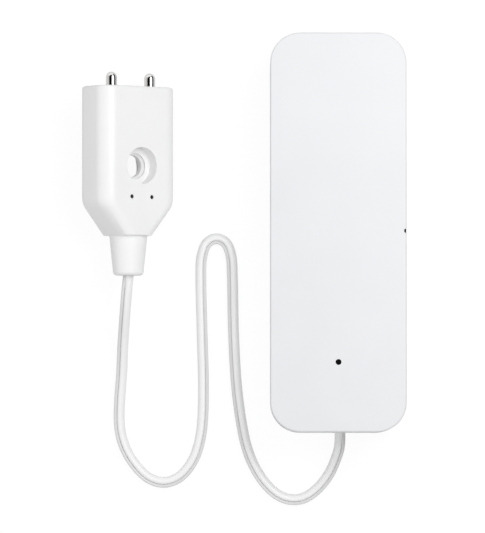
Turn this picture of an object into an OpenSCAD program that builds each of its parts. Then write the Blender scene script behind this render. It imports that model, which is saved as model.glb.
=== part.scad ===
// Water leak sensor: a slim battery unit and a corded probe, lying on one flat surface.
// Origin: middle of the main unit's back. X to its right, Y along its length, Z out of its face.

/* [Main unit] */
// Width of the main unit
body_w = 30; // [30:0.5:40]
// Length of the main unit
body_l = 88; // [86:1:110]
// Corner radius seen from the front
corner_r = 6.6; // [5:0.1:8]
// Radius of the rounded front edge
edge_r = 0.4; // [0.2:0.1:1.2]
// Wall thickness of the front housing
wall = 1.4; // [1.2:0.1:1.6]

/* [Rear cover] */
// Thickness of the rear cover
cover_t = 2; // [1.6:0.1:2.2]
// Radius of the rear cover's outer edge
cover_edge_r = 0.8; // [0.4:0.1:1.2]
// Travel that frees the rear cover's hooks
cover_travel = 6; // [4:0.5:7]
// Distance from the middle to each pair of hooks
hook_y = 26; // [18:1:28]
// Height of the catches above the seam
catch_rise = 1.2; // [1.1:0.1:1.6]
// Thickness of a catch and of a hook's foot
catch_t = 1; // [0.8:0.1:1.2]
// Distance between the wall-screw holes
wall_screw_pitch = 60; // [40:1:64]
// Diameter of the wall-screw holes
wall_screw_d = 3.5; // [3:0.1:4]
// Diameter of the wall-screw countersinks
wall_screw_head_d = 5.6; // [4.6:0.1:6]
// Length of the finger slot in the seam
slot_l = 6.9; // [4:0.1:10]
// Place of the finger slot along the length
slot_y = -30.2; // [-34:0.1:-24]

/* [Power] */
// Diameter of a battery cell
cell_d = 10.5; // [10.1:0.1:10.7]
// Length of a battery cell with its nub
cell_l = 44.5; // [43.5:0.1:44.7]
// Gap between the two cells
cell_apart = 0.5; // [0.3:0.1:1]
// Room between the cells and the rear cover
cell_room = 1.1; // [0.8:0.1:4]
// Thickness of the battery holder's base
holder_t = 0.7; // [0.6:0.1:1]
// Thickness of the battery holder's walls
holder_wall = 1.2; // [1:0.1:1.5]
// Thickness of the contact sheet
contact_t = 0.4; // [0.3:0.05:0.5]
// Free height of a spring leaf
spring_h = 3.4; // [2.6:0.1:4]

/* [Board] */
// Thickness of the circuit board
board_t = 1; // [0.8:0.1:1.2]
// Room between the board and the face
board_gap = 1.2; // [1.1:0.05:1.4]
// Radius of a screw boss
boss_r = 2.2; // [2:0.1:2.4]
// Height of a screw boss
boss_h = 6.2; // [5.8:0.1:7]
// Distance of the screw bosses from the middle line
boss_x = 8.6; // [7:0.1:9]
// Radius of a screw's shank
screw_r = 0.8; // [0.7:0.05:1]
// Width of the radio module
radio_w = 10.4; // [9:0.1:12]
// Length of the radio module
radio_l = 17; // [14:0.5:22]

/* [Button and light] */
// Diameter of the reset button's stem
button_d = 0.9; // [0.7:0.05:1]
// Place of the button along the length
button_y = 0.3; // [-8:0.1:12]
// Travel of the button
button_travel = 0.35; // [0.2:0.05:0.4]
// Diameter of the light window
window_d = 1.3; // [1:0.1:2]
// Place of the light window along the length
window_y = -28.6; // [-34:0.1:-24]

/* [Cable] */
// Diameter of the cable
cable_d = 2.4; // [2:0.1:2.6]
// Sideways place of the cable's exit
cable_x = 0.5; // [-1:0.1:1]
// Height of the grommet above the seam
grommet_rise = 0.45; // [0.3:0.05:3]
// Radius of the grommet's body
grommet_r = 2.2; // [2:0.1:2.6]
// Diameter of one insulated core
core_d = 0.8; // [0.6:0.05:0.9]

/* [Probe] */
// Width of the probe
probe_w = 20.6; // [19.6:0.1:24]
// Thickness of the probe
probe_t = 10.1; // [9.8:0.1:12]
// Length of the probe's body
probe_l = 33; // [32:0.5:40]
// Radius of the probe's long edges at the face
face_edge_r = 3.4; // [2.4:0.1:3.8]
// Radius of the probe's long edges at the back
back_edge_r = 2.6; // [2:0.1:2.8]
// Radius of the probe's end edge
probe_end_r = 0.6; // [0.4:0.1:1.4]
// Width of the probe's narrow end
tail_w = 9; // [8.8:0.1:11]
// Angle of the probe's shoulders
taper_angle = 41; // [35:1:48]
// Radius of the bend into each shoulder
shoulder_r = 4; // [2:0.5:6]
// Wall of the probe's face and end
probe_wall = 1.85; // [1.5:0.05:2.2]
// Thickness of the probe's rear plate
plate_t = 1.4; // [1:0.1:1.6]

/* [Screw hole] */
// Diameter of the screw hole
hole_d = 4.9; // [4:0.1:5.2]
// Length of the straight screw hole
hole_l = 1.1; // [0.8:0.1:2]
// Diameter of the recess for the screw's head
head_d = 8.2; // [7.4:0.1:8.4]
// Depth of the recess for the screw's head
head_depth = 2.7; // [2.4:0.1:3.4]
// Depth of the small step below the recess
step_depth = 0.45; // [0.2:0.05:0.6]
// Depth of the bevel round the screw hole
hole_bevel = 0.45; // [0.2:0.05:0.5]
// Diameter of the hollow behind the screw hole
hollow_d = 12.2; // [10:0.1:12.4]
// Distance of the screw hole from the cable end
hole_end = 15.4; // [14:0.1:17]

/* [Contacts] */
// Diameter of a contact pin
pin_d = 2.5; // [2:0.1:2.8]
// Length of a contact pin outside the probe
pin_out = 3.2; // [2:0.1:5]
// Distance between the contact pins
pin_pitch = 10.6; // [8:0.1:10.8]
// Distance of the pins in front of mid thickness
pin_z = 0.8; // [0:0.1:1]
// Diameter of a face contact
dot_d = 0.9; // [0.6:0.1:1.2]
// Distance between the face contacts
dot_pitch = 5.5; // [4:0.1:6]
// Distance of the face contacts from the cable end
dot_end = 8.5; // [8:0.1:9.5]
// Depth of the face contacts below the face
dot_recess = 0.2; // [0.1:0.05:0.4]

/* [Boot] */
// Diameter of the boot at the probe
boot_d = 8.4; // [7:0.1:8.6]
// Diameter of the boot at the cable
boot_tip_d = 6.8; // [5.4:0.1:7.4]
// Length of the boot
boot_l = 8.8; // [7:0.1:14]
// Radius of the boot's rounded tip
boot_tip_r = 0.9; // [0.4:0.1:1.2]

/* [Placement] */
// Sideways place of the probe's axis
probe_x = -46.4; // [-60:0.1:-40]
// Place of the probe's pin end along Y
probe_y = 32.5; // [20:0.1:40]
// Roll of the probe about its length, resting on one long edge
probe_roll = 38; // [0:1:45]

/* [Clearances] */
// Gap between the rear cover and the housing
slide_gap = 0.15; // [0.1:0.05:0.25]
// Gap round pieces that are pushed in
fit_gap = 0.05; // [0.02:0.01:0.1]
// Gap between neighbouring pieces
part_gap = 0.3; // [0.2:0.05:0.4]

/* [Hidden] */
$fn = 64;

// Main unit: its thickness follows what is stacked inside
cell_gap = 0.1;
body_t = cover_t + cell_room + cell_d + cell_gap + holder_t + board_t + board_gap + wall;
inner_x = body_w / 2 - wall;
inner_y = body_l / 2 - wall;
face_in_z = body_t - wall;
inner_r = corner_r - wall;
inner_edge_r = 0.4;
seam_z = cover_t + slide_gap;
// Depth by which joined forms of one piece run into each other, and by which cuts run past a face
sink = 0.3;
past = 1;

// Hooks of the rear cover and catches of the housing
hook_release = 1;
hook_l = cover_travel - hook_release;
catch_w = 0.9;
catch_z = seam_z + catch_rise;
catch_x = inner_x - catch_w;
hook_post_w = 1;
hook_x = catch_x - slide_gap - hook_post_w;
hook_foot_z = catch_z + catch_t + slide_gap;
lip_h = 1;
lip_w = 0.9;
stop_rib_w = 10;
stop_rib_t = 1.2;
stop_rib_h = 1.8;
cell_rib_w = 1.2;
wall_screw_r = wall_screw_d / 2;
sink_depth = (wall_screw_head_d - wall_screw_d) / 2;
slot_depth = 0.9;
slot_h = 0.9;

// Levels from the face to the back
board_front_z = face_in_z - board_gap;
board_rear_z = board_front_z - board_t;
holder_rear_z = board_rear_z - holder_t;
cell_r = cell_d / 2;
cell_x = (cell_d + cell_apart) / 2;
cell_z = holder_rear_z - cell_gap - cell_r;
cell_low_z = cell_z - cell_r;
boss_end_z = face_in_z - boss_h;

// Places along the length
boss_margin = 1.8;
boss_top_y = inner_y - boss_r - boss_margin;
bay_top_y = boss_top_y - boss_r - part_gap - holder_wall;
dimple_h = 0.2;
bay_l = cell_l + 2 * contact_t + dimple_h + spring_h + 2 * fit_gap;
bay_low_y = bay_top_y - bay_l;
cell_stop = contact_t + dimple_h + fit_gap;
boss_low_y = bay_low_y - holder_wall - part_gap - boss_r;
board_low_y = -inner_y + part_gap;
board_top_y = bay_top_y + holder_wall;
radio_y = (bay_low_y - holder_wall + board_low_y) / 2;

// Board and what sits on it
board_side_gap = 0.5;
board_half_w = inner_x - board_side_gap;
board_hole_r = boss_r + part_gap;
pad_w = 1.4;
pad_l = 5;
pad_inset = 12;
ledge_w = 4;
ledge_h = 1.2;
ledge_reach = 1.4;
ledge_x = 8;
radio_t = 0.8;
radio_rear_z = board_rear_z - radio_t;
shield_inset = 0.8;
antenna_l = 5;
shield_w = radio_w - 2 * shield_inset;
shield_l = radio_l - shield_inset - antenna_l;
shield_t = 2;
shield_r = 0.6;
coil_r = 1.9;
coil_h = 2;
capacitor = [2.2, 1.6, 1.1];
capacitor_pitch = 3;
component_gap = 1.3;
component_x = -9.5;
led_size = [1.6, 0.8, 0.6];
flange_t = 0.4;
flange_rim = 0.6;
flange_r = window_d / 2 + flange_rim;

// Reset switch
stem_r = button_d / 2;
button_z = (face_in_z + board_front_z) / 2;
switch_l = 3;
switch_w = 4;
switch_x = inner_x - inner_edge_r;
switch_h = board_gap - 2 * fit_gap;
switch_lip = 0.5;
stem_base = [0.4, 1.8, button_d - 2 * fit_gap];
stem_inset = 0.08;
notch_rim = 0.1;
notch_r = stem_r + notch_rim;

// Holder and screws
cell_side_gap = 0.2;
holder_in_x = cell_x + cell_r + cell_side_gap;
holder_side_t = 0.95;
holder_x = holder_in_x + holder_side_t;
holder_rise = 1.5;
holder_low_z = cell_low_z + holder_rise;
side_drop = 1.3;
holder_side_z = cell_z - side_drop;
cradle_t = 2;
cradle_drop = 4;
holder_opening = [4, 9, 2.6];
ear_t = 1.4;
ear_rim = 0.2;
ear_r = boss_r + ear_rim;
ear_hole_r = screw_r + part_gap;
screw_head_r = 1.9;
screw_head_h = 1.3;
screw_depth = 4.6;
pilot_extra = 0.4;
contact_w = 7;
contact_h = 8.4;
contact_tab_w = 2;
leaf_w = 5;
leaf_t = 0.3;
leaf_h = 3.4;
leaf_nose = 0.6;
leaf_end_y = 1.3;
leaf_end_h = 3;
leaf_y = spring_h + contact_t;
dimple_r = 1.5;
strap_h = 2;

// Cable, connector and cores
cable_r = cable_d / 2;
core_r = core_d / 2;
cable_bore_r = cable_r + fit_gap;
grommet_rim = 0.8;
grommet_flange_r = grommet_r + grommet_rim;
grommet_flange_t = 1.2;
cable_z = seam_z + grommet_rise + grommet_flange_r;
socket_size = [6, 5, 5.8];
socket_wall = 0.6;
socket_floor = 1.2;
socket_x = radio_w / 2 + part_gap + socket_size[0] / 2;
socket_inset = 9.3;
socket_y = board_low_y + socket_inset;
plug_out = 1.8;
plug_low_z = board_rear_z - socket_size[2] - plug_out;
core_gap = 0.3;
lead_pitch = 2.5;
lead_spread = 0.6;
lead_drop = 1.4;
lead_reach = 2;
jacket_out = 0.8;
jacket_end_y = -inner_y + grommet_flange_t + jacket_out;

// Probe, in its own frame: origin at the middle of the pin end, Y back along the body, Z out of the face
probe_half_w = probe_w / 2;
probe_half_t = probe_t / 2;
probe_z = (probe_half_w - back_edge_r) * sin(probe_roll) + (probe_half_t - back_edge_r) * cos(probe_roll)
    + back_edge_r;
tail_r = 0.3;
section_t = 0.02;
shoulder_steps = 6;
shoulder_end_w = probe_half_w - shoulder_r * (1 - cos(taper_angle));
taper_l = (shoulder_end_w - tail_w / 2) / tan(taper_angle);
shoulder_y = -probe_l + tail_r + taper_l + shoulder_r * sin(taper_angle);
back_z = -probe_half_t;
end_wall = 2.6;
pocket_top_y = -end_wall;
pocket_front_z = probe_half_t - probe_wall;

// Screw hole in the probe
hole_y = probe_l - hole_end;
hole_r = hole_d / 2;
head_r = head_d / 2;
hollow_r = hollow_d / 2;
land_z = probe_half_t - head_depth;
step_z = land_z - step_depth;
hollow_z = step_z - hole_bevel - hole_l;
head_tube_wall = 0.8;
head_tube_r = head_r + head_tube_wall;
hollow_roof = 0.9;
hollow_wall = 1;
hollow_ring_r = hollow_r + hollow_wall;

// Contacts inside the probe
pin_r = pin_d / 2;
pin_x = pin_pitch / 2;
collar_rim = 0.35;
collar_r = pin_r + collar_rim;
collar_t = 0.8;
seal_t = 0.6;
contact_board_t = 1;
contact_board_y = pocket_top_y - seal_t - collar_t - part_gap;
contact_board_l = contact_board_y + hole_y - hollow_ring_r - part_gap;
contact_board_z = pin_z - pin_r;
pin_in = 0.75 * contact_board_l - contact_board_y;
dot_y = probe_l - dot_end;
dot_r = dot_d / 2;
dot_x = dot_pitch / 2;
dot_rim = 0.45;
dot_head_r = dot_r + dot_rim;
dot_head_t = 0.7;

// Pocket and rear plate, as wide as the pins need and as long as the face contacts need
pocket_x = pin_x + collar_r + fit_gap;
pocket_low_y = -dot_y - dot_head_r - fit_gap;
plate_rim = 0.5;
plate_x = pocket_x + plate_rim;
plate_top_y = pocket_top_y + plate_rim;
plate_low_y = pocket_low_y - plate_rim;
neck_room_l = 3.5;
neck_room_x = 2.9;
neck_low_y = pocket_low_y - neck_room_l;
plate_neck_x = neck_room_x + plate_rim;
plate_neck_y = neck_low_y - plate_rim;

// Boot
boot_r = boot_d / 2;
boot_tip = boot_tip_d / 2;
boot_neck_r = 2.4;
boot_flange_r = neck_room_x - 2 * fit_gap;
boot_flange_t = 1;
boot_low_y = -probe_l - boot_l;
cable_depth = 4.8;

// Cable route: out of the grommet and down, along the surface, up to the boot.
// The first and last lists are offsets from the exit and from the boot's mouth, with the share of the
// height that is left.
lie_z = cable_r + 0.05;
exit_y = -body_l / 2;
mouth_y = probe_y + boot_low_y;
leaving = [[-0.15, -3.2, 0.91], [-1.05, -6.2, 0.63], [-2.6, -9.5, 0.29], [-5, -12.45, 0.08],
    [-7.8, -14.4, 0.01], [-10.4, -14.85, 0], [-12.9, -14.25, 0], [-15.4, -12.5, 0], [-17.9, -9.4, 0]];
lying = [[-19.6, -49], [-21, -43.8], [-22.4, -34], [-23.1, -22], [-23.4, -8], [-23.7, -4.5], [-24.8, -1.8],
    [-26.9, -0.8], [-29, -1.8], [-30.1, -4.5], [-30.4, -8], [-30.1, -22], [-29.8, -34], [-30.1, -42.5],
    [-31.1, -47.6], [-32.7, -51.1], [-35.3, -53.9], [-38.6, -55], [-42, -54], [-45, -51.1], [-47.3, -47.2],
    [-48.4, -43], [-48.5, -38]];
arriving = [[-1.6, -21.7, 0.07], [-1.25, -14.7, 0.35], [-0.7, -7.7, 0.8], [-0.3, -3.1, 0.99]];
cable_route = concat(
    [[cable_x, jacket_end_y, cable_z], [cable_x, exit_y, cable_z]],
    [for (p = leaving) [cable_x + p[0], exit_y + p[1], lie_z + (cable_z - lie_z) * p[2]]],
    [for (p = lying) [p[0], p[1], lie_z]],
    [for (p = arriving) [probe_x + p[0], mouth_y + p[1], lie_z + (probe_z - lie_z) * p[2]]],
    [[probe_x, mouth_y, probe_z], [probe_x, mouth_y + cable_depth, probe_z]]);
cable_sides = 8;
cable_steps = 2;
core_sides = 8;
core_steps = 3;

// Point on a smooth curve from b to c, with a and d as the neighbours that set its direction
function between(a, b, c, d, t) = let (run = norm(c - b), from = run * unit(c - a), to = run * unit(d - b))
    (1 + 2 * t) * (1 - t) * (1 - t) * b + t * (1 - t) * (1 - t) * from
    + t * t * (3 - 2 * t) * c + t * t * (t - 1) * to;
function smooth_path(route, steps) = [
    for (i = [0 : len(route) - 2], k = [0 : steps - 1])
        between(route[max(i - 1, 0)], route[i], route[i + 1], route[min(i + 2, len(route) - 1)], k / steps),
    route[len(route) - 1]];
function unit(v) = v / norm(v);
function heading(path, i) = unit(path[min(i + 1, len(path) - 1)] - path[max(i - 1, 0)]);
function square_to(v, along) = unit(v - (v * along) * along);
// Sideways directions carried along the path without twist
function sideways(path, i, v) = i == len(path) ? []
    : let (s = square_to(v, heading(path, i))) concat([s], sideways(path, i + 1, s));

// Round tube along a path, closed at both ends
module tube(path, r, sides) {
    last = len(path) - 1;
    side = sideways(path, 0, abs(heading(path, 0)[0]) < 0.9 ? [1, 0, 0] : [0, 0, 1]);
    points = [for (i = [0 : last], k = [0 : sides - 1])
        let (up = cross(heading(path, i), side[i]), a = 360 * k / sides)
            path[i] + r * (cos(a) * side[i] + sin(a) * up)];
    walls = [for (i = [0 : last - 1], k = [0 : sides - 1])
        let (a = i * sides + k, b = i * sides + (k + 1) % sides)
            each [[a, a + sides, b], [b, a + sides, b + sides]]];
    caps = [[for (k = [0 : sides - 1]) k], [for (k = [sides - 1 : -1 : 0]) last * sides + k]];
    polyhedron(points, concat(walls, caps));
}

// Half profile of a slab with its upper outer edge rounded
module slab_profile(reach, h, edge) {
    square([reach - edge, h]);
    square([reach, h - edge]);
    translate([reach - edge, h - edge]) circle(edge);
}

// Slab on the XY plane with round corners and a rounded upper edge
module rounded_slab(w, l, h, r, edge) {
    cx = w / 2 - r;
    cy = l / 2 - r;
    translate([-cx, -cy, 0]) cube([2 * cx, 2 * cy, h]);
    for (m = [0, 1]) {
        mirror([m, 0, 0]) translate([cx, cy, 0]) rotate([90, 0, 0])
            linear_extrude(2 * cy) slab_profile(r, h, edge);
        mirror([0, m, 0]) translate([-cx, cy, 0]) rotate([90, 0, 90])
            linear_extrude(2 * cx) slab_profile(r, h, edge);
        for (n = [0, 1])
            mirror([m, 0, 0]) mirror([0, n, 0]) translate([cx, cy, 0])
                rotate_extrude(angle = 90) slab_profile(r, h, edge);
    }
}

// Plate with round corners, from the corner of its outline
module rounded_plate(size, r) {
    linear_extrude(size[2]) {
        translate([r, 0]) square([size[0] - 2 * r, size[1]]);
        translate([0, r]) square([size[0], size[1] - 2 * r]);
        for (x = [r, size[0] - r], y = [r, size[1] - r])
            translate([x, y]) circle(r);
    }
}

// Box between two corners
module block(low, high) {
    translate(low) cube(high - low);
}

// Rod along X or Y
module rod_x(r, l) {
    rotate([0, 90, 0]) cylinder(r = r, h = l);
}

module rod_y(r, l) {
    rotate([-90, 0, 0]) cylinder(r = r, h = l);
}

// Places of the four screw bosses
module at_bosses() {
    for (sx = [-1, 1], y = [boss_top_y, boss_low_y])
        translate([sx * boss_x, y, boss_end_z]) children();
}

module front_housing() color("white") {
    difference() {
        translate([0, 0, seam_z]) rounded_slab(body_w, body_l, body_t - seam_z, corner_r, edge_r);
        translate([0, 0, seam_z - past])
            rounded_slab(2 * inner_x, 2 * inner_y, face_in_z - seam_z + past, inner_r, inner_edge_r);
        translate([0, window_y, face_in_z - past]) cylinder(r = window_d / 2, h = wall + 2 * past);
        translate([switch_x, button_y, button_z]) rod_x(stem_r + fit_gap, body_w);
        translate([body_w / 2, button_y, button_z]) cylinder(r = notch_r, h = body_t);
        translate([cable_x, exit_y - past, cable_z]) rod_y(grommet_r + fit_gap, wall + 2 * past);
        block([body_w / 2 - slot_depth, slot_y - slot_l / 2, seam_z - past],
            [body_w / 2 + past, slot_y + slot_l / 2, seam_z + slot_h]);
    }
    at_bosses() difference() {
        cylinder(r = boss_r, h = boss_h + sink);
        translate([0, 0, -past]) cylinder(r = screw_r, h = screw_depth + pilot_extra + past);
    }
    for (m = [0, 1]) mirror([m, 0, 0]) {
        for (y = [-hook_y, hook_y])
            block([catch_x, y - hook_l / 2, catch_z], [inner_x + sink, y + hook_l / 2, catch_z + catch_t]);
        for (y = [board_low_y + pad_inset, board_top_y - pad_inset])
            block([switch_x - pad_w, y - pad_l / 2, board_front_z],
                [switch_x, y + pad_l / 2, face_in_z + sink]);
        block([ledge_x - ledge_w / 2, -inner_y - sink, board_rear_z - ledge_h],
            [ledge_x + ledge_w / 2, board_low_y + ledge_reach, board_rear_z]);
    }
}

module rear_cover() color("whitesmoke") {
    difference() {
        translate([0, 0, cover_t]) mirror([0, 0, 1])
            rounded_slab(body_w, body_l, cover_t, corner_r, cover_edge_r);
        for (y = [-wall_screw_pitch / 2, wall_screw_pitch / 2]) translate([0, y, 0]) {
            translate([0, 0, -past]) cylinder(r = wall_screw_r, h = cover_t + 2 * past);
            translate([0, 0, cover_t - sink_depth])
                cylinder(r1 = wall_screw_r, r2 = wall_screw_r + sink_depth, h = sink_depth);
        }
    }
    for (m = [0, 1]) mirror([m, 0, 0]) {
        for (y = [-hook_y, hook_y]) {
            block([hook_x, y - hook_l / 2, cover_t - sink],
                [hook_x + hook_post_w, y + hook_l / 2, hook_foot_z + catch_t]);
            block([hook_x, y - hook_l / 2, hook_foot_z],
                [inner_x - part_gap, y + hook_l / 2, hook_foot_z + catch_t]);
        }
        block([inner_x - slide_gap - lip_w, -hook_y, cover_t - sink],
            [inner_x - slide_gap, hook_y, cover_t + lip_h]);
        block([cell_x - cell_rib_w / 2, bay_low_y + hook_l, cover_t - sink],
            [cell_x + cell_rib_w / 2, bay_top_y - hook_l, cell_low_z - part_gap]);
    }
    block([-stop_rib_w / 2, inner_y - slide_gap - stop_rib_t, cover_t - sink],
        [stop_rib_w / 2, inner_y - slide_gap, cover_t + stop_rib_h]);
}

module led_window() color("#1a1a1c") translate([0, window_y, 0]) {
    translate([0, 0, face_in_z - flange_t]) cylinder(r = window_d / 2 - fit_gap / 2, h = wall + flange_t);
    translate([0, 0, face_in_z - flange_t]) cylinder(r = flange_r, h = flange_t);
}

module status_led() color("honeydew")
    translate([-led_size[0] / 2, window_y - led_size[1] / 2, board_front_z]) cube(led_size);

// The stem's end lies in a notch of the housing's edge, so it is seen from the face
module reset_button() color("#161616") {
    base_x = switch_x - switch_lip - fit_gap - stem_base[0];
    translate([base_x, button_y, button_z]) rod_x(stem_r, body_w / 2 - stem_inset - base_x);
    translate([base_x, button_y - stem_base[1] / 2, button_z - stem_base[2] / 2]) cube(stem_base);
}

module reset_switch() color("dimgray") {
    room_x = stem_base[0] + button_travel + 2 * fit_gap;
    room_y = stem_base[1] + 2 * fit_gap;
    room_z = stem_base[2] + 2 * fit_gap;
    difference() {
        translate([switch_x - switch_l, button_y - switch_w / 2, board_front_z])
            cube([switch_l, switch_w, switch_h]);
        translate([switch_x - switch_lip - room_x, button_y - room_y / 2, button_z - room_z / 2])
            cube([room_x, room_y, room_z]);
        translate([switch_x - switch_lip - sink, button_y, button_z]) rod_x(stem_r + fit_gap, switch_l);
    }
}

module main_board() color("#2f6b3f") difference() {
    translate([-board_half_w, board_low_y, board_rear_z])
        rounded_plate([2 * board_half_w, board_top_y - board_low_y, board_t], inner_r);
    for (sx = [-1, 1])
        translate([sx * boss_x, boss_low_y, board_rear_z - past])
            cylinder(r = board_hole_r, h = board_t + 2 * past);
}

module radio_board() color("#274b63")
    translate([-radio_w / 2, radio_y - radio_l / 2, radio_rear_z])
        cube([radio_w, radio_l, radio_t]);

module radio_shield() color("silver")
    translate([-shield_w / 2, radio_y + radio_l / 2 - shield_inset - shield_l, radio_rear_z - shield_t])
        rounded_plate([shield_w, shield_l, shield_t], shield_r);

// Coil and two capacitors beside the radio
module board_components() color("#303030") {
    coil_y = boss_low_y - boss_r - component_gap - coil_r;
    capacitor_y = coil_y - coil_r - component_gap - capacitor[1];
    translate([component_x, coil_y, board_rear_z - coil_h]) cylinder(r = coil_r, h = coil_h);
    for (sx = [-1, 1]) {
        x = component_x + (sx * capacitor_pitch - capacitor[0]) / 2;
        translate([x, capacitor_y, board_rear_z - capacitor[2]]) cube(capacitor);
    }
}

module battery_holder() color("#2b2b2e") difference() {
    union() {
        block([-holder_x, bay_low_y - holder_wall, holder_rear_z],
            [holder_x, bay_top_y + holder_wall, board_rear_z]);
        for (y = [bay_low_y - holder_wall, bay_top_y])
            block([-holder_x, y, holder_low_z], [holder_x, y + holder_wall, board_rear_z]);
        for (m = [0, 1]) mirror([m, 0, 0])
            block([holder_in_x, bay_low_y - sink, holder_side_z], [holder_x, bay_top_y + sink, board_rear_z]);
        for (i = [1 : 3])
            translate([0, bay_low_y + i * bay_l / 4, 0]) difference() {
                block([-holder_x, -cradle_t / 2, holder_rear_z - cradle_drop],
                    [holder_x, cradle_t / 2, board_rear_z]);
                for (sx = [-1, 1])
                    translate([sx * cell_x, -cradle_t, cell_z]) rod_y(cell_r + cell_gap, 2 * cradle_t);
            }
        for (sx = [-1, 1], low = [0, 1]) {
            y = low ? boss_low_y : boss_top_y;
            wall_y = low ? bay_low_y - holder_wall : bay_top_y + holder_wall;
            translate([sx * boss_x, y, boss_end_z - ear_t]) cylinder(r = ear_r, h = ear_t);
            block([sx * boss_x - ear_r, min(y, wall_y), boss_end_z - ear_t],
                [sx * boss_x + ear_r, max(y, wall_y), boss_end_z]);
        }
    }
    at_bosses() translate([0, 0, -ear_t - past]) cylinder(r = ear_hole_r, h = ear_t + 2 * past);
    for (sx = [-1, 1], i = [0 : 3])
        translate([sx * holder_x, bay_low_y + (i + 0.5) * bay_l / 4, cell_z + holder_opening[2] / 2])
            cube(holder_opening, center = true);
    for (sx = [-1, 1]) {
        half_w = contact_tab_w / 2 + fit_gap;
        block([sx * cell_x - half_w, bay_low_y, cell_z],
            [sx * cell_x + half_w, bay_low_y + contact_t + fit_gap, board_rear_z + past]);
    }
}

module holder_screws() color("silver") at_bosses() {
    translate([0, 0, -ear_t]) cylinder(r = screw_r - fit_gap / 2, h = ear_t + screw_depth);
    translate([0, 0, -ear_t - screw_head_h]) cylinder(r = screw_head_r, h = screw_head_h);
}

// Battery cell standing on its flat end
module cell() {
    nub_r = 1.9;
    nub_h = 0.8;
    bevel = 0.5;
    body = cell_l - nub_h;
    rotate_extrude() polygon([[0, 0], [cell_r - bevel, 0], [cell_r, bevel], [cell_r, body - bevel],
        [cell_r - bevel, body], [nub_r, body], [nub_r, cell_l], [0, cell_l]]);
}

module battery_left() color("#8f9499")
    translate([-cell_x, bay_low_y + cell_stop + cell_l, cell_z]) rotate([90, 0, 0]) cell();

module battery_right() color("#8f9499")
    translate([cell_x, bay_top_y - cell_stop - cell_l, cell_z]) rotate([-90, 0, 0]) cell();

// Contact plate with its back on the XZ plane; the spring leaf or dimple reaches towards +Y
module contact_plate(sprung) {
    translate([-contact_w / 2, 0, -contact_h / 2]) cube([contact_w, contact_t, contact_h]);
    if (sprung)
        translate([-leaf_w / 2, 0, 0]) rotate([90, 0, 90]) linear_extrude(leaf_w)
            polygon([[contact_t / 2, -leaf_h], [contact_t + leaf_t, -leaf_h], [leaf_y, -leaf_nose],
                [leaf_y, leaf_nose], [leaf_end_y + leaf_t, leaf_end_h], [leaf_end_y, leaf_end_h - leaf_t],
                [leaf_y - leaf_t, leaf_nose - leaf_t / 2], [leaf_y - leaf_t, leaf_t / 2 - leaf_nose],
                [contact_t / 2, leaf_t * 2 - leaf_h]]);
    else
        rod_y(dimple_r, contact_t + dimple_h);
}

// Tab that joins a contact to the board
module contact_tab() {
    block([-contact_tab_w / 2, 0, 0], [contact_tab_w / 2, contact_t, board_rear_z - cell_z]);
}

module bridge_contact() color("gainsboro") translate([0, bay_top_y, cell_z]) rotate([0, 0, 180]) {
    translate([cell_x, 0, 0]) contact_plate(true);
    translate([-cell_x, 0, 0]) contact_plate(false);
    block([-cell_x, 0, -strap_h / 2], [cell_x, contact_t, strap_h / 2]);
}

module positive_contact() color("gainsboro") translate([-cell_x, bay_low_y, cell_z]) {
    contact_plate(false);
    contact_tab();
}

module negative_contact() color("gainsboro") translate([cell_x, bay_low_y, cell_z]) {
    contact_plate(true);
    contact_tab();
}

module cable_grommet() color("whitesmoke") translate([cable_x, exit_y, cable_z]) difference() {
    union() {
        rod_y(grommet_r, wall + sink);
        translate([0, wall, 0]) rod_y(grommet_flange_r, grommet_flange_t);
    }
    translate([0, -past, 0]) rod_y(cable_bore_r, wall + grommet_flange_t + 2 * past);
}

module cable_socket() color("ivory") translate([socket_x, socket_y, board_rear_z]) mirror([0, 0, 1])
    difference() {
        translate([-socket_size[0] / 2, -socket_size[1] / 2, 0]) cube(socket_size);
        translate([socket_wall - socket_size[0] / 2, socket_wall - socket_size[1] / 2, socket_floor])
            cube(socket_size - [2 * socket_wall, 2 * socket_wall, 0]);
    }

module cable_plug() color("white") {
    margin = socket_wall + fit_gap;
    translate([socket_x - socket_size[0] / 2 + margin, socket_y - socket_size[1] / 2 + margin, plug_low_z])
        cube(socket_size + [-2 * margin, -2 * margin, plug_out - socket_floor - fit_gap]);
}

module lead_wires() for (s = [-1, 1])
    color(s < 0 ? "firebrick" : "black") {
        start = [cable_x + s * (core_r + core_gap / 2), jacket_end_y + fit_gap, cable_z];
        finish = [socket_x + s * lead_pitch / 2, socket_y, plug_low_z - fit_gap];
        low = start + [0, lead_reach, s * lead_spread];
        turn = finish + [0, -lead_reach, s * lead_spread - lead_drop];
        route = [start, low, (low + turn) / 2, turn, finish + [0, 0, -lead_drop], finish];
        tube(smooth_path(route, core_steps), core_r, core_sides);
    }

module probe_cable() color("white") tube(smooth_path(cable_route, cable_steps), cable_r, cable_sides);

// Places the probe's own frame: rolled about its length, resting on one long edge
module probe_frame() {
    translate([probe_x, probe_y, probe_z]) rotate([0, probe_roll, 0]) children();
}

// One thin cross-section of the probe, with its outline drawn in
module probe_section(y, half_w, inset) {
    for (sx = [-1, 1], edge = [[1, face_edge_r], [-1, back_edge_r]])
        translate([sx * (half_w - edge[1]), y, edge[0] * (probe_half_t - edge[1])])
            rotate([90, 0, 0]) cylinder(r = edge[1] - inset, h = section_t, center = true, $fn = 40);
}

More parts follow.
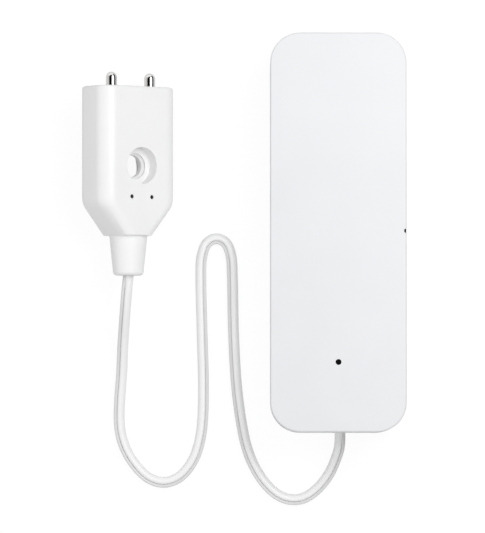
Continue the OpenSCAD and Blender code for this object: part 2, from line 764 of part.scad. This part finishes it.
// Solid outer form of the probe: straight sides, rounded end, bent shoulders and a narrow tail
module probe_form() {
    hull() {
        for (a = [0 : 22.5 : 90])
            probe_section(probe_end_r * (sin(a) - 1) - section_t / 2, probe_half_w,
                probe_end_r * (1 - cos(a)));
        for (i = [0 : shoulder_steps])
            probe_section(shoulder_y - shoulder_r * sin(taper_angle * i / shoulder_steps),
                probe_half_w - shoulder_r * (1 - cos(taper_angle * i / shoulder_steps)), 0);
        for (a = [0, 45, 90])
            probe_section(section_t / 2 + tail_r * (1 - sin(a)) - probe_l, tail_w / 2, tail_r * (1 - cos(a)));
    }
}

// Form of the rear plate between two depths, drawn in by a margin
module plate_form(low, high, margin) {
    block([margin - plate_x, plate_low_y + margin, low], [plate_x - margin, plate_top_y - margin, high]);
    block([margin - plate_neck_x, plate_neck_y + margin, low],
        [plate_neck_x - margin, plate_low_y + margin, high]);
}

module probe_housing() color("white") probe_frame() difference() {
    union() {
        difference() {
            probe_form();
            block([-pocket_x, pocket_low_y, back_z - past], [pocket_x, pocket_top_y, pocket_front_z]);
            block([-neck_room_x, neck_low_y, back_z - past], [neck_room_x, pocket_low_y + sink, neck_room_x]);
        }
        translate([0, -hole_y, hollow_z]) cylinder(r = head_tube_r, h = pocket_front_z - hollow_z + sink);
        intersection() {
            translate([0, -hole_y, back_z]) cylinder(r = hollow_ring_r, h = hollow_z + hollow_roof - back_z);
            block([-pocket_x - sink, -probe_l, back_z], [pocket_x + sink, 0, probe_half_t]);
        }
    }
    plate_form(back_z - past, back_z + plate_t, 0);
    translate([0, -hole_y, land_z]) cylinder(r = head_r, h = head_depth + past);
    translate([0, -hole_y, step_z]) cylinder(r = hole_r + hole_bevel, h = step_depth + past);
    translate([0, -hole_y, step_z - hole_bevel])
        cylinder(r1 = hole_r, r2 = hole_r + hole_bevel, h = hole_bevel);
    translate([0, -hole_y, back_z]) cylinder(r = hole_r, h = probe_t);
    translate([0, -hole_y, back_z - past]) cylinder(r = hollow_r, h = hollow_z - back_z + past);
    for (sx = [-1, 1]) {
        translate([sx * pin_x, pocket_top_y - past, pin_z]) rod_y(pin_r + fit_gap, probe_l);
        translate([sx * dot_x, -dot_y, 0]) cylinder(r = dot_r + fit_gap / 2, h = probe_t);
    }
    translate([0, -probe_l - past, 0]) rod_y(boot_neck_r + fit_gap, neck_low_y + probe_l + 2 * past);
}

module probe_rear_plate() color("whitesmoke") probe_frame() difference() {
    plate_form(back_z, back_z + plate_t, fit_gap);
    translate([0, -hole_y, back_z - past]) cylinder(r = hollow_r, h = plate_t + 2 * past);
}

module contact_pins() color("silver") probe_frame() for (sx = [-1, 1]) translate([sx * pin_x, 0, pin_z]) {
    translate([0, -pin_in, 0]) rod_y(pin_r, pin_in + pin_out - pin_r);
    translate([0, pin_out - pin_r, 0]) sphere(pin_r);
    translate([0, pocket_top_y - seal_t - collar_t, 0]) rod_y(collar_r, collar_t);
}

module pin_seals() color("#3a3a3a") probe_frame() for (sx = [-1, 1])
    translate([sx * pin_x, pocket_top_y - seal_t, pin_z]) difference() {
        rod_y(collar_r, seal_t);
        translate([0, -past, 0]) rod_y(pin_r + fit_gap, seal_t + 2 * past);
    }

module contact_board() color("#2f6b3f") probe_frame()
    block([part_gap - pocket_x, contact_board_y - contact_board_l, contact_board_z - contact_board_t],
        [pocket_x - part_gap, contact_board_y, contact_board_z]);

module face_contacts() color("#141414") probe_frame() for (sx = [-1, 1])
    translate([sx * dot_x, -dot_y, pocket_front_z - dot_head_t]) {
        cylinder(r = dot_head_r, h = dot_head_t);
        cylinder(r = dot_r, h = probe_wall + dot_head_t - dot_recess);
    }

// Half profile of the boot: rounded tip, cone, neck and inner flange
module boot_profile() {
    difference() {
        union() {
            polygon([[0, boot_tip_r], [boot_tip, boot_tip_r], [boot_r, boot_l], [0, boot_l]]);
            square([boot_tip - boot_tip_r, boot_tip_r * 2]);
            translate([boot_tip - boot_tip_r, boot_tip_r]) circle(boot_tip_r);
            translate([0, boot_l - sink]) square([boot_neck_r, neck_low_y + probe_l + sink]);
            translate([0, boot_l + neck_low_y + probe_l]) square([boot_flange_r, boot_flange_t]);
        }
        translate([-boot_r, -past]) square([boot_r + cable_bore_r, 2 * probe_l]);
    }
}

module probe_boot() color("white") probe_frame() translate([0, boot_low_y, 0])
    rotate([-90, 0, 0]) rotate_extrude() boot_profile();

// Cores inside the probe: past the boot's flange, round the screw tube and up to the pins
module probe_wires() for (s = [-1, 1]) color(s < 0 ? "firebrick" : "black") probe_frame() {
    core_x = s * (core_r + core_gap / 2);
    lane_x = s * (head_tube_r + pocket_x) / 2;
    lane_z = hollow_z + hollow_roof + core_r + part_gap;
    route = [[core_x, boot_low_y + cable_depth + fit_gap, 0], [core_x, neck_low_y, 0],
        [core_x, neck_low_y + boot_flange_t + part_gap, 0],
        [s * (neck_room_x - core_r - part_gap), pocket_low_y, lane_z],
        [s * (dot_x + core_d * 3), -dot_y + core_d * 3, lane_z], [lane_x, -hole_y - core_d * 2, lane_z],
        [lane_x, -hole_y + head_r, lane_z], [s * pin_x, -pin_in - core_d * 2, pin_z],
        [s * pin_x, -pin_in - fit_gap, pin_z]];
    tube(smooth_path(route, core_steps), core_r, core_sides);
}

front_housing();
rear_cover();
led_window();
reset_button();
reset_switch();
status_led();
main_board();
radio_board();
radio_shield();
board_components();
battery_holder();
battery_left();
battery_right();
bridge_contact();
positive_contact();
negative_contact();
holder_screws();
cable_grommet();
cable_socket();
cable_plug();
lead_wires();
probe_cable();
probe_housing();
probe_rear_plate();
probe_boot();
contact_pins();
pin_seals();
contact_board();
face_contacts();
probe_wires();
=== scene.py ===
import math

import bpy
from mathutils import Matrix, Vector


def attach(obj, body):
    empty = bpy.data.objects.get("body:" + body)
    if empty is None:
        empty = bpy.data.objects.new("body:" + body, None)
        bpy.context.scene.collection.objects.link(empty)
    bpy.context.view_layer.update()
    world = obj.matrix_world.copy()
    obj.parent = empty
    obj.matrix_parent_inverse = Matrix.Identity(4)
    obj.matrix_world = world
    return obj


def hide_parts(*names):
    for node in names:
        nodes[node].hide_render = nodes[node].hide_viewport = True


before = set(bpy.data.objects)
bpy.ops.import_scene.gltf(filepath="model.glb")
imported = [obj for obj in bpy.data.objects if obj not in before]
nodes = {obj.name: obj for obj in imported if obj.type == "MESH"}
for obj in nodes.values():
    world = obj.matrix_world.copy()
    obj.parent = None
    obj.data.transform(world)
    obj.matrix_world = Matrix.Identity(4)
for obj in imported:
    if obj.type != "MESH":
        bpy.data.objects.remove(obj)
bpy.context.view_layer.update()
scene = bpy.context.scene
MM = 0.001


# Camera: a long lens almost straight above, tilted two degrees

CAMERA_PLACE = (-21.12, -59.34, 1500)
CAMERA_TILT = math.radians(2)
LENS = 455.2
SENSOR = 36

camera_data = bpy.data.cameras.new("photo_camera")
camera_data.sensor_width = SENSOR
camera_data.lens = LENS
camera_data.clip_start = 0.05
camera_data.clip_end = 30
camera = bpy.data.objects.new("photo_camera", camera_data)
camera.location = [v * MM for v in CAMERA_PLACE]
camera.rotation_euler = (CAMERA_TILT, 0, 0)
scene.collection.objects.link(camera)
scene.camera = camera


# Cable: the route of the CAD tube, in millimetres, with the section of a two-core cord

CABLE_R = 1.2
FLOOR_GAP = 0.05
LIE_Z = CABLE_R + FLOOR_GAP
EXIT = (0.5, -44, 5.6)
JACKET_END_Y = -40.6
MOUTH = (-46.4, -9.3, 9.271)
CABLE_DEPTH = 4.8

# Points from the exit and to the mouth: offset in x and y, and share of the height above the surface
LEAVING = [
    (-0.15, -3.2, 0.91), (-1.05, -6.2, 0.63), (-2.6, -9.5, 0.29), (-5, -12.45, 0.08), (-7.8, -14.4, 0.01),
    (-10.4, -14.85, 0), (-12.9, -14.25, 0), (-15.4, -12.5, 0), (-17.9, -9.4, 0),
]
LYING = [
    (-19.6, -49), (-21, -43.8), (-22.4, -34), (-23.1, -22), (-23.4, -8), (-23.7, -4.5), (-24.8, -1.8),
    (-26.9, -0.8), (-29, -1.8), (-30.1, -4.5), (-30.4, -8), (-30.1, -22), (-29.8, -34), (-30.1, -42.5),
    (-31.1, -47.6), (-32.7, -51.1), (-35.3, -53.9), (-38.6, -55), (-42, -54), (-45, -51.1), (-47.3, -47.2),
    (-48.4, -43), (-48.5, -38),
]
ARRIVING = [(-1.6, -21.7, 0.07), (-1.25, -14.7, 0.35), (-0.7, -7.7, 0.8), (-0.3, -3.1, 0.99)]
STEPS_PER_POINT = 6

# Each core: its place to the left and up, and its radius
WIDE_CORE = (-0.38, 0, 0.82)
NARROW_CORE = (0.79, -0.3, 0.41)
# Rise of the section for each millimetre to the left
LEAN = 0.4
ARC_STEPS = 20
SECTION_COUNT = 2 * ARC_STEPS
# The section is round in the grommet and the boot, and takes its own shape over this length outside
COLLAR_L = 3
COLLAR_START = math.radians(70)
# Height above the surface within which the section settles on it
SETTLE_H = 3


def cable_route():
    route = [(EXIT[0], JACKET_END_Y, EXIT[2]), EXIT]
    route += [(EXIT[0] + x, EXIT[1] + y, LIE_Z + (EXIT[2] - LIE_Z) * h) for x, y, h in LEAVING]
    route += [(x, y, LIE_Z) for x, y in LYING]
    route += [(MOUTH[0] + x, MOUTH[1] + y, LIE_Z + (MOUTH[2] - LIE_Z) * h) for x, y, h in ARRIVING]
    route += [MOUTH, (MOUTH[0], MOUTH[1] + CABLE_DEPTH, MOUTH[2])]
    return [Vector(p) for p in route]


def smooth_path(route, steps):
    """Points on a smooth curve through the route."""
    path = []
    for i in range(len(route) - 1):
        a, b, c, d = (route[min(max(k, 0), len(route) - 1)] for k in (i - 1, i, i + 1, i + 2))
        run = (c - b).length
        leave = (c - a).normalized() * run
        arrive = (d - b).normalized() * run
        for k in range(steps):
            t = k / steps
            path.append(
                (1 + 2 * t) * (1 - t) ** 2 * b
                + t * (1 - t) ** 2 * leave
                + t * t * (3 - 2 * t) * c
                + t * t * (t - 1) * arrive
            )
    return path + [route[-1]]


def cord_section():
    """Outline of the two-core cord, a wide core and a narrow one, as offsets to the left and up."""
    x1, y1, r1 = WIDE_CORE
    x2, y2, r2 = NARROW_CORE
    gap = math.hypot(x2 - x1, y2 - y1)
    turn = math.atan2(y2 - y1, x2 - x1)
    reach = (gap * gap + r1 * r1 - r2 * r2) / (2 * gap)
    meet_wide = math.acos(reach / r1)
    meet_narrow = math.acos((gap - reach) / r2)
    outline = []
    for k in range(ARC_STEPS):
        angle = turn + meet_wide + 2 * (math.pi - meet_wide) * k / ARC_STEPS
        outline.append((x1 + r1 * math.cos(angle), y1 + r1 * math.sin(angle)))
    for k in range(ARC_STEPS):
        angle = turn - math.pi + meet_narrow + 2 * (math.pi - meet_narrow) * k / ARC_STEPS
        outline.append((x2 + r2 * math.cos(angle), y2 + r2 * math.sin(angle)))
    return [(x, y + LEAN * x) for x, y in outline]


def cord_corners(path, reach):
    """Corners of the cord's skin, ring by ring, where reach is each path point's distance along it."""
    section = cord_section()
    angles = [COLLAR_START + math.pi * k / ARC_STEPS for k in range(SECTION_COUNT)]
    collar = [(CABLE_R * math.cos(angle), CABLE_R * math.sin(angle)) for angle in angles]
    sink = FLOOR_GAP - LIE_Z - min(rise for across, rise in section)
    last = len(path) - 1
    corners = []
    for i, p in enumerate(path):
        run = (path[min(i + 1, last)] - path[max(i - 1, 0)]).normalized()
        left = Vector((0, 0, 1)).cross(run).normalized()
        up = run.cross(left)
        lying = max(0, 1 - (p.z - LIE_Z) / SETTLE_H)
        middle = p + lying * sink * up
        past_grommet = reach[i] - (JACKET_END_Y - EXIT[1])
        before_boot = reach[-1] - CABLE_DEPTH - reach[i]
        bare = min(max(min(past_grommet, before_boot) / COLLAR_L, 0), 1)
        for (a, b), (c, d) in zip(section, collar):
            across = c + (a - c) * bare
            rise = d + (b - d) * bare
            corners.append((middle + across * left + rise * up) * MM)
    return corners


def cord_faces(rings):
    faces = []
    for i in range(rings - 1):
        for k in range(SECTION_COUNT):
            here = i * SECTION_COUNT + k
            beside = i * SECTION_COUNT + (k + 1) % SECTION_COUNT
            faces.append((here, beside, beside + SECTION_COUNT, here + SECTION_COUNT))
    faces.append(tuple(reversed(range(SECTION_COUNT))))
    faces.append(tuple(range((rings - 1) * SECTION_COUNT, rings * SECTION_COUNT)))
    return faces


def make_cable():
    path = smooth_path(cable_route(), STEPS_PER_POINT)
    reach = [0]
    for p, q in zip(path, path[1:]):
        reach.append(reach[-1] + (q - p).length)
    mesh = bpy.data.meshes.new("cable")
    mesh.from_pydata(cord_corners(path, reach), [], cord_faces(len(path)))
    cable = bpy.data.objects.new("cable", mesh)
    scene.collection.objects.link(cable)
    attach(cable, "main_unit")
    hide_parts("probe_cable")
    return cable


cable = make_cable()


# Node trees


class Tree:
    """Short forms for building the nodes of a material or a world."""

    def __init__(self, owner, output):
        owner.use_nodes = True
        self.tree = owner.node_tree
        self.tree.nodes.clear()
        self.output = self.add(output)

    def add(self, kind, **values):
        node = self.tree.nodes.new(kind)
        for key, value in values.items():
            setattr(node, key, value)
        return node

    def link(self, a, b):
        self.tree.links.new(a, b)

    def maths(self, operation, a, b):
        node = self.add("ShaderNodeMath", operation=operation)
        for socket, value in zip(node.inputs, (a, b)):
            if isinstance(value, (int, float)):
                socket.default_value = value
            else:
                self.link(value, socket)
        return node.outputs[0]

    def dot(self, vector, weights):
        node = self.add("ShaderNodeVectorMath", operation="DOT_PRODUCT")
        node.inputs[1].default_value = weights
        self.link(vector, node.inputs[0])
        return node.outputs["Value"]

    def parts(self, vector):
        node = self.add("ShaderNodeSeparateXYZ")
        self.link(vector, node.inputs[0])
        return node.outputs

    def span(self, fac, low, high, from_low=0.0, from_high=1.0):
        node = self.add("ShaderNodeMapRange")
        node.inputs["From Min"].default_value = from_low
        node.inputs["From Max"].default_value = from_high
        node.inputs["To Min"].default_value = low
        node.inputs["To Max"].default_value = high
        self.link(fac, node.inputs["Value"])
        return node.outputs[0]

    def plain(self, kind, colour):
        """A shader with nothing but its colour, which is a grey level or a socket."""
        node = self.add(kind)
        if isinstance(colour, (int, float)):
            node.inputs["Color"].default_value = (colour, colour, colour, 1)
        else:
            self.link(colour, node.inputs["Color"])
        return node.outputs[0]

    def mix(self, fac, first, second):
        node = self.add("ShaderNodeMixShader")
        for socket, source in zip(node.inputs, (fac, first, second)):
            self.link(source, socket)
        return node.outputs[0]


class Look(Tree):
    """A material of one principled shader, with its textures in the object's own coordinates."""

    def __init__(self, name):
        self.material = bpy.data.materials.new(name)
        super().__init__(self.material, "ShaderNodeOutputMaterial")
        self.shader = self.add("ShaderNodeBsdfPrincipled")
        self.link(self.shader.outputs[0], self.output.inputs[0])
        self.place = self.add("ShaderNodeTexCoord").outputs["Object"]

    def noise(self, scale, detail=2.0, stretch=None):
        node = self.add("ShaderNodeTexNoise")
        node.inputs["Scale"].default_value = scale
        node.inputs["Detail"].default_value = detail
        place = self.place
        if stretch:
            mapping = self.add("ShaderNodeMapping")
            mapping.inputs["Scale"].default_value = stretch
            self.link(place, mapping.inputs["Vector"])
            place = mapping.outputs[0]
        self.link(place, node.inputs["Vector"])
        return node.outputs["Fac"]

    def ramp(self, fac, *stops):
        node = self.add("ShaderNodeValToRGB")
        ramp = node.color_ramp
        while len(ramp.elements) < len(stops):
            ramp.elements.new(1)
        for element, (position, colour) in zip(ramp.elements, stops):
            element.position = position
            element.color = (*colour, 1)
        self.link(fac, node.inputs[0])
        return node.outputs[0]

    def bump(self, height, strength, distance):
        node = self.add("ShaderNodeBump")
        node.inputs["Strength"].default_value = strength
        node.inputs["Distance"].default_value = distance
        self.link(height, node.inputs["Height"])
        self.link(node.outputs[0], self.shader.inputs["Normal"])

    def feed(self, name, value):
        socket = self.shader.inputs[name]
        if isinstance(value, (int, float)):
            socket.default_value = value
        else:
            self.link(value, socket)


# Kinds of material


def shade(colour, factor):
    return tuple(min(1, c * factor) for c in colour)


def moulded(name, colour, rough, grain=7000, depth=0.000004, spread=0.012, drift=60):
    """Moulded plastic or rubber: slow colour drift, uneven gloss and a fine grain."""
    m = Look(name)
    dark = shade(colour, 1 - spread)
    light = shade(colour, 1 + spread)
    m.feed("Base Color", m.ramp(m.noise(drift, 3), (0.3, dark), (0.7, light)))
    m.feed("Roughness", m.span(m.noise(drift * 4, 4), rough - 0.05, rough + 0.05, 0.3, 0.7))
    m.bump(m.noise(grain, 3), 0.35, depth)
    return m


def metal(name, colour, rough, stretch, scale=2200, depth=0.000003):
    """Plated metal with fine lines along one direction."""
    m = Look(name)
    lines = m.noise(scale, 3, stretch)
    m.feed("Metallic", 1.0)
    m.feed("Base Color", m.ramp(lines, (0.25, shade(colour, 0.93)), (0.75, shade(colour, 1.04))))
    m.feed("Roughness", m.span(lines, rough * 0.75, rough * 1.25, 0.3, 0.7))
    m.bump(lines, 0.3, depth)
    return m


TRACK_PITCH = 1.3 * MM


def board(name, solder_mask, copper):
    """Solder mask over copper tracks, with the tracks showing as slightly raised, paler lines."""
    m = Look(name)
    bend = m.maths("MULTIPLY", m.noise(140, 0), 0.006)
    across = m.maths("ADD", m.parts(m.place)[0], bend)
    wave = m.maths("SINE", m.maths("MULTIPLY", across, 2 * math.pi / TRACK_PITCH), 0)
    patch = m.maths("GREATER_THAN", m.noise(90, 1), 0.5)
    track = m.maths("MULTIPLY", m.maths("GREATER_THAN", wave, 0.45), patch)
    m.feed("Base Color", m.ramp(track, (0.1, solder_mask), (0.9, copper)))
    m.feed("Roughness", m.span(m.noise(500, 3), 0.3, 0.42, 0.3, 0.7))
    m.bump(track, 0.4, 0.00003)
    return m


def two_wires(name, first, second, weights, offset):
    """Two insulated cores in one piece, told apart by which side of a slanted plane they lie on."""
    m = moulded(name, first, 0.4, grain=9000)
    side = m.maths("GREATER_THAN", m.dot(m.place, weights), offset)
    m.feed("Base Color", m.ramp(side, (0.4, first), (0.6, second)))
    return m


LEFT_BAND_Y = -3.5 * MM
RIGHT_BAND_Y = 24.5 * MM


def cell_sleeve(name, body, band):
    """Two cells' sleeves: the left cell has its coloured band low, the right one high."""
    m = metal(name, body, 0.3, (2.0, 0.1, 2.0), scale=900)
    x, y = m.parts(m.place)[:2]
    left = m.maths("MULTIPLY", m.maths("LESS_THAN", y, LEFT_BAND_Y), m.maths("LESS_THAN", x, 0))
    right = m.maths("MULTIPLY", m.maths("GREATER_THAN", y, RIGHT_BAND_Y), m.maths("GREATER_THAN", x, 0))
    m.feed("Base Color", m.ramp(m.maths("MAXIMUM", left, right), (0.4, body), (0.6, band)))
    return m


# Materials of the outer pieces

CORD_FINISH = {"rough": 0.34, "grain": 1800, "depth": 0.000002, "drift": 120}

shell = moulded("white_shell", (0.806, 0.813, 0.832), 0.5)
probe_shell = moulded("white_probe_shell", (0.945, 0.945, 0.945), 0.36)
cover_plastic = moulded("white_cover", (0.82, 0.826, 0.84), 0.55, grain=3500, depth=0.00002)
jacket = moulded("cable_jacket", (0.945, 0.945, 0.945), **CORD_FINISH)
# The narrow core gets a darker grey than the wide one. This is painted shade for the band along the groove,
# added on top of the groove's own shadow.
painted_shade_core = moulded("painted_shade_core", (0.74, 0.74, 0.745), **CORD_FINISH)
soft_white = moulded("white_rubber", (0.945, 0.945, 0.945), 0.42, grain=6000, depth=0.000006)
lens = moulded("smoked_lens", (0.003, 0.003, 0.0034), 0.14, spread=0.2, depth=0.000001)
lens.feed("Coat Weight", 0.2)
button_plastic = moulded("black_plastic", (0.006, 0.006, 0.0065), 0.45, spread=0.2)
dark_contact = moulded("conductive_rubber", (0.006, 0.006, 0.006), 0.6, spread=0.25)
pin_metal = metal("polished_pin", (0.64, 0.635, 0.625), 0.07, (0.12, 2.5, 0.12), scale=5000, depth=0.0000015)

# Materials of the inner pieces

RED = (0.42, 0.02, 0.02)
BLACK = (0.012, 0.012, 0.012)
# The two leads to the plug lie on either side of a line from the jacket's end with this slope
LEAD_SLOPE = 8 / 7.6
PROBE_ROLL = math.radians(38)

grey_plastic = moulded("grey_plastic", (0.045, 0.045, 0.05), 0.5, spread=0.12)
resin = moulded("clear_resin", (0.78, 0.82, 0.74), 0.2, spread=0.03)
main_laminate = board("circuit_board", (0.012, 0.11, 0.035), (0.05, 0.24, 0.08))
radio_laminate = board("radio_laminate", (0.012, 0.045, 0.1), (0.04, 0.11, 0.2))
plated = metal("plated_steel", (0.66, 0.65, 0.63), 0.28, (0.15, 2.0, 0.15))
chip_resin = moulded("component_resin", (0.022, 0.022, 0.023), 0.55, spread=0.2)
nylon = moulded("connector_plastic", (0.8, 0.77, 0.68), 0.45)
seal = moulded("seal_rubber", (0.03, 0.03, 0.03), 0.7, spread=0.2)
sleeve = cell_sleeve("cell_jacket", (0.1, 0.105, 0.11), (0.55, 0.33, 0.16))
leads = two_wires(
    "lead_insulation",
    RED,
    BLACK,
    weights=(1, -LEAD_SLOPE, 0),
    offset=(EXIT[0] - JACKET_END_Y * LEAD_SLOPE) * MM,
)
wires = two_wires(
    "wire_insulation",
    RED,
    BLACK,
    weights=(math.cos(PROBE_ROLL), 0, -math.sin(PROBE_ROLL)),
    offset=(MOUTH[0] * math.cos(PROBE_ROLL) - MOUTH[2] * math.sin(PROBE_ROLL)) * MM,
)

LOOKS = {
    "front_housing": shell,
    "rear_cover": cover_plastic,
    "led_window": lens,
    "reset_button": button_plastic,
    "reset_switch": grey_plastic,
    "status_led": resin,
    "main_board": main_laminate,
    "radio_board": radio_laminate,
    "radio_shield": plated,
    "board_components": chip_resin,
    "battery_holder": grey_plastic,
    "battery_left": sleeve,
    "battery_right": sleeve,
    "bridge_contact": plated,
    "positive_contact": plated,
    "negative_contact": plated,
    "holder_screws": plated,
    "cable_grommet": soft_white,
    "cable_socket": nylon,
    "cable_plug": nylon,
    "lead_wires": leads,
    "probe_housing": probe_shell,
    "probe_rear_plate": cover_plastic,
    "probe_boot": soft_white,
    "contact_pins": pin_metal,
    "pin_seals": seal,
    "contact_board": main_laminate,
    "face_contacts": dark_contact,
    "probe_wires": wires,
}


# Shading: smooth across shallow edges, crisp at the others

MERGE_GAP = 0.002 * MM
CRISP_ANGLE = math.radians(32)


def smooth_by_angle():
    tree = bpy.data.node_groups.new("smooth_by_angle", "GeometryNodeTree")
    tree.interface.new_socket("Geometry", in_out="INPUT", socket_type="NodeSocketGeometry")
    tree.interface.new_socket("Geometry", in_out="OUTPUT", socket_type="NodeSocketGeometry")
    start = tree.nodes.new("NodeGroupInput")
    end = tree.nodes.new("NodeGroupOutput")
    merge = tree.nodes.new("GeometryNodeMergeByDistance")
    merge.inputs["Distance"].default_value = MERGE_GAP
    faces = tree.nodes.new("GeometryNodeSetShadeSmooth")
    edges = tree.nodes.new("GeometryNodeSetShadeSmooth")
    edges.domain = "EDGE"
    edges.inputs["Shade Smooth"].default_value = False
    angle = tree.nodes.new("GeometryNodeInputMeshEdgeAngle")
    steep = tree.nodes.new("FunctionNodeCompare")
    steep.data_type = "FLOAT"
    steep.operation = "GREATER_THAN"
    steep.inputs["B"].default_value = CRISP_ANGLE
    tree.links.new(start.outputs[0], merge.inputs["Geometry"])
    tree.links.new(merge.outputs["Geometry"], faces.inputs["Geometry"])
    tree.links.new(faces.outputs["Geometry"], edges.inputs["Geometry"])
    tree.links.new(angle.outputs["Unsigned Angle"], steep.inputs["A"])
    tree.links.new(steep.outputs["Result"], edges.inputs["Selection"])
    tree.links.new(edges.outputs["Geometry"], end.inputs[0])
    return tree


smoothing = smooth_by_angle()
for name, look in LOOKS.items():
    piece = nodes[name]
    piece.data.materials.clear()
    piece.data.materials.append(look.material)
    piece.modifiers.new("smooth_by_angle", "NODES").node_group = smoothing

cable.data.materials.append(jacket.material)
cable.data.materials.append(painted_shade_core.material)
# The sides of the narrow core take the darker grey of the painted shade; the wide core and the end caps keep
# the jacket's white.
for face in cable.data.polygons:
    is_side = len(face.vertices) == 4
    on_narrow_core = face.vertices[0] % SECTION_COUNT >= ARC_STEPS
    face.material_index = int(is_side and on_narrow_core)
cable.modifiers.new("smooth_by_angle", "NODES").node_group = smoothing


# Floor: seen as white that keeps the shadow, but grey where it lights the object

FLOOR_HALF = 4
FLOOR_Z = -0.03 * MM
FLOOR_BOUNCE = 0.4
FLOOR_SHADOW = 0.1
FLOOR_GLOW = 0.92


def make_floor():
    mesh = bpy.data.meshes.new("floor")
    turns = ((-1, -1), (1, -1), (1, 1), (-1, 1))
    mesh.from_pydata([(x * FLOOR_HALF, y * FLOOR_HALF, FLOOR_Z) for x, y in turns], [], [(0, 1, 2, 3)])
    floor = bpy.data.objects.new("floor", mesh)
    scene.collection.objects.link(floor)
    material = bpy.data.materials.new("floor_white")
    mesh.materials.append(material)
    t = Tree(material, "ShaderNodeOutputMaterial")
    ray = t.add("ShaderNodeLightPath").outputs
    seen = t.maths("MAXIMUM", ray["Is Camera Ray"], ray["Is Transmission Ray"])
    seen = t.maths("MAXIMUM", seen, ray["Is Glossy Ray"])
    white = t.add("ShaderNodeAddShader")
    t.link(t.plain("ShaderNodeBsdfDiffuse", FLOOR_SHADOW), white.inputs[0])
    t.link(t.plain("ShaderNodeEmission", FLOOR_GLOW), white.inputs[1])
    grey = t.plain("ShaderNodeBsdfDiffuse", FLOOR_BOUNCE)
    t.link(t.mix(seen, grey, white.outputs[0]), t.output.inputs[0])


# World: a soft sky that is brightest above and to the left

SKY_TILT = (-0.18, -0.12, 0.49)
SKY_LEVEL = 0.39

# Reflections see a room with a dark ceiling and right side and a pale back and left side, which gives the
# metal its contrast. Each side has the two places that its change runs between, with the level at each.
CEILING = ((0.62, 1), (0.74, 0.03))
RIGHT_SIDE = ((0.4, 1), (0.6, 0.06))
BACK_SIDE = ((0.2, 0.12), (0.5, 1.3))
LEFT_SIDE = ((-0.72, 0.85), (-0.55, 0.05))


def make_world():
    world = bpy.data.worlds.new("studio")
    scene.world = world
    t = Tree(world, "ShaderNodeOutputWorld")
    direction = t.add("ShaderNodeTexCoord").outputs["Generated"]
    x, y, z = t.parts(direction)

    def side(place, change):
        (start, first), (end, last) = change
        return t.span(place, first, last, start, end)

    pale = t.maths("MAXIMUM", side(x, LEFT_SIDE), side(y, BACK_SIDE))
    walls = t.maths("MULTIPLY", side(x, RIGHT_SIDE), pale)
    room = t.maths("MULTIPLY", side(z, CEILING), walls)
    sky = t.maths("ADD", t.dot(direction, SKY_TILT), SKY_LEVEL)
    lit = t.plain("ShaderNodeBackground", sky)
    mirrored = t.plain("ShaderNodeBackground", room)
    white = t.plain("ShaderNodeBackground", 1)
    ray = t.add("ShaderNodeLightPath").outputs
    unseen = t.mix(ray["Is Glossy Ray"], lit, mirrored)
    t.link(t.mix(ray["Is Camera Ray"], unseen, white), t.output.inputs[0])


def make_lamp(name, place, target, size, power):
    data = bpy.data.lights.new(name, "AREA")
    data.shape = "DISK"
    data.size = size
    data.energy = power
    lamp = bpy.data.objects.new(name, data)
    lamp.location = place
    lamp.rotation_euler = (Vector(target) - Vector(place)).to_track_quat("-Z", "Y").to_euler()
    scene.collection.objects.link(lamp)


make_floor()
make_world()
make_lamp("key", place=(0.12, 0.1, 0.3), target=(-0.02, 0, 0), size=0.22, power=0.47)

scene.view_settings.view_transform = "Standard"
